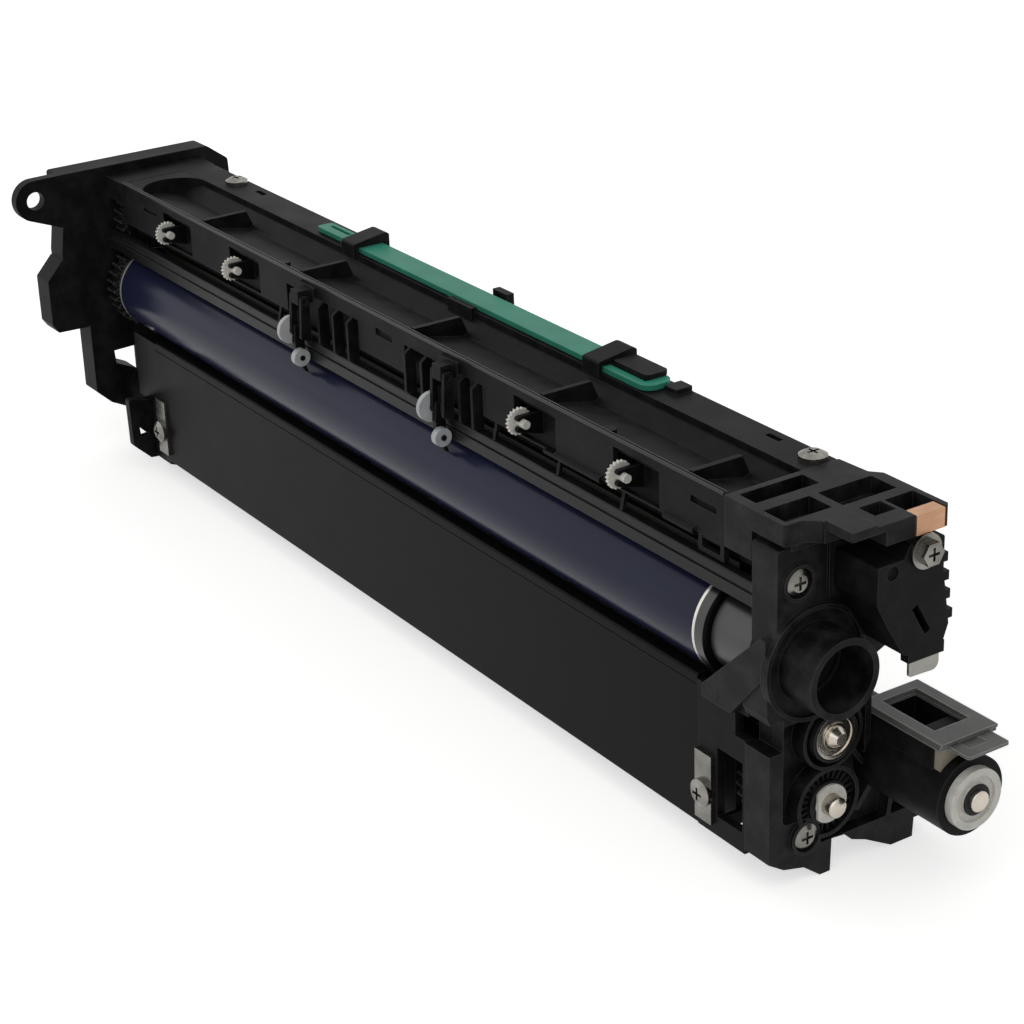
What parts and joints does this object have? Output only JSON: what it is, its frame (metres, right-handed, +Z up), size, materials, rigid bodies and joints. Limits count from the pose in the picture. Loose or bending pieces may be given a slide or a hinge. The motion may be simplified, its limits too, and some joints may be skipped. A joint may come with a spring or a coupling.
{
  "type": "printer drum unit",
  "caption": "Long printer drum unit: a coated drum between two end plates, a ribbed casing and waste screw above it, and a developer trough with roller and mixing screws below.",
  "frame": {"origin": "middle of the mouth of the drive bore, on the drum's axis, at the drive end", "axes": "+X along the drum and out of the drive end, -Y the side where the paper passes the drum, +Z up"},
  "size_m": [0.4336, 0.0941, 0.1134],
  "materials": {
    "black_abs": "satin black engineering plastic, lightly textured",
    "drum_coating": "smooth dark blue-grey photoconductor coating",
    "white_pom": "natural white acetal",
    "grey_pom": "grey acetal",
    "steel": "ground steel",
    "zinc_steel": "zinc-plated steel",
    "aluminium": "matt blasted aluminium",
    "copper": "copper alloy",
    "black_rubber": "conductive rubber",
    "blade_rubber": "amber polyurethane",
    "foam": "grey foam",
    "teal_plastic": "green polypropylene",
    "frosted_sheet": "frosted polyester sheet",
    "ferrite": "ferrite magnet"
  },
  "bodies": {
    "frame": {"upper_housing": "black_abs", "guide_rail": "black_abs", "far_end_plate": "black_abs", "drive_end_cap": "black_abs", "drive_end_cover": "black_abs", "connector_cover": "black_abs", "hex_screw": "zinc_steel", "charge_contact": "copper", "ground_tab": "zinc_steel", "case_screws": "zinc_steel", "developer_case": "black_abs", "developer_lid": "black_abs", "doctor_blade": "steel", "front_panel": "black_abs", "near_side_plate": "black_abs", "far_side_plate": "black_abs", "edge_strips": "zinc_steel", "toner_port": "black_abs", "port_seal": "frosted_sheet", "inlet_pad": "white_pom", "auger_bush_rear": "white_pom", "auger_bush_front": "white_pom", "bearing_outer_ring": "steel", "blade_bracket": "zinc_steel", "cleaning_blade": "blade_rubber", "charge_holder_near": "white_pom", "charge_holder_far": "white_pom", "magnet_roller": "ferrite", "drum_far_pin": "steel", "strap_hook": "black_abs", "pawl_holder_1": "black_abs", "pawl_holder_2": "black_abs"},
    "drum": {"drum_tube": "drum_coating", "drum_flange_near": "grey_pom", "drum_flange_far": "black_abs"},
    "waste_screw": {"waste_auger": "white_pom", "waste_gear": "black_abs"},
    "charge_roller": {"charge_roller_shaft": "steel", "charge_roller_sleeve": "black_rubber"},
    "cleaning_roller": {"cleaner_roller": "foam"},
    "developer_roller": {"developer_sleeve": "aluminium", "developer_shaft": "steel", "developer_gear": "black_abs", "bearing_inner_ring": "steel"},
    "front_screw": {"mixing_auger_front": "black_abs", "front_gear_near": "black_abs", "front_gear_far": "white_pom"},
    "rear_screw": {"mixing_auger_rear": "black_abs", "rear_gear": "white_pom"},
    "inlet_shutter": {"shutter": "frosted_sheet"},
    "strap": {"lift_strap": "teal_plastic"},
    "star_1": {"star_wheel_1": "white_pom"},
    "star_2": {"star_wheel_2": "white_pom"},
    "star_3": {"star_wheel_3": "white_pom"},
    "star_4": {"star_wheel_4": "white_pom"},
    "pawl_1": {"pickoff_pawl_1": "black_abs", "pawl_wheels_1": "white_pom"},
    "pawl_2": {"pickoff_pawl_2": "black_abs", "pawl_wheels_2": "white_pom"}
  },
  "joints": [
    {"name": "drum_spin", "type": "hinge", "parent": "frame", "child": "drum", "pos_m": [-0.217, 0, 0], "axis": [1, 0, 0], "continuous": true},
    {"name": "waste_screw_spin", "type": "hinge", "parent": "frame", "child": "waste_screw", "pos_m": [-0.217, 0.0014, 0.026], "axis": [1, 0, 0], "continuous": true},
    {"name": "charge_roller_spin", "type": "hinge", "parent": "frame", "child": "charge_roller", "pos_m": [-0.217, 0.01632, 0.01369], "axis": [1, 0, 0], "continuous": true},
    {"name": "cleaning_roller_spin", "type": "hinge", "parent": "frame", "child": "cleaning_roller", "pos_m": [-0.217, 0.02087, 0.02226], "axis": [1, 0, 0], "continuous": true},
    {"name": "developer_spin", "type": "hinge", "parent": "frame", "child": "developer_roller", "pos_m": [-0.217, 0.00679, -0.0237], "axis": [1, 0, 0], "continuous": true},
    {"name": "front_screw_spin", "type": "hinge", "parent": "frame", "child": "front_screw", "pos_m": [-0.217, 0.0055, -0.04365], "axis": [1, 0, 0], "continuous": true},
    {"name": "rear_screw_spin", "type": "hinge", "parent": "frame", "child": "rear_screw", "pos_m": [-0.217, 0.02959, -0.03697], "axis": [1, 0, 0], "continuous": true},
    {"name": "star_1_spin", "type": "hinge", "parent": "frame", "child": "star_1", "pos_m": [-0.3505, -0.0128, 0.0332], "axis": [1, 0, 0], "continuous": true},
    {"name": "star_2_spin", "type": "hinge", "parent": "frame", "child": "star_2", "pos_m": [-0.301, -0.0128, 0.0332], "axis": [1, 0, 0], "continuous": true},
    {"name": "star_3_spin", "type": "hinge", "parent": "frame", "child": "star_3", "pos_m": [-0.128, -0.0128, 0.0332], "axis": [1, 0, 0], "continuous": true},
    {"name": "star_4_spin", "type": "hinge", "parent": "frame", "child": "star_4", "pos_m": [-0.0795, -0.0128, 0.0332], "axis": [1, 0, 0], "continuous": true},
    {"name": "pawl_1_swing", "type": "hinge", "parent": "frame", "child": "pawl_1", "pos_m": [-0.2545, -0.0149, 0.0364], "axis": [1, 0, 0], "range_deg": [-12, 0], "stiffness_Nm_per_rad": 0.002, "springref_deg": 6.88},
    {"name": "pawl_2_swing", "type": "hinge", "parent": "frame", "child": "pawl_2", "pos_m": [-0.169, -0.0149, 0.0364], "axis": [1, 0, 0], "range_deg": [-12, 0], "stiffness_Nm_per_rad": 0.002, "springref_deg": 6.88},
    {"name": "shutter_slide", "type": "slide", "parent": "frame", "child": "inlet_shutter", "axis": [1, 0, 0], "range_m": [-0.0204, 0]},
    {"name": "strap_slide", "type": "slide", "parent": "frame", "child": "strap", "axis": [1, 0, 0], "range_m": [-0.003, 0]}
  ],
  "couplings": [
    {"joint": "waste_screw_spin", "follows": "drum_spin", "ratio": -1.3636},
    {"joint": "charge_roller_spin", "follows": "drum_spin", "ratio": -2.5},
    {"joint": "cleaning_roller_spin", "follows": "drum_spin", "ratio": 4.4118},
    {"joint": "front_screw_spin", "follows": "developer_spin", "ratio": -0.66667},
    {"joint": "rear_screw_spin", "follows": "developer_spin", "ratio": 0.66667}
  ]
}
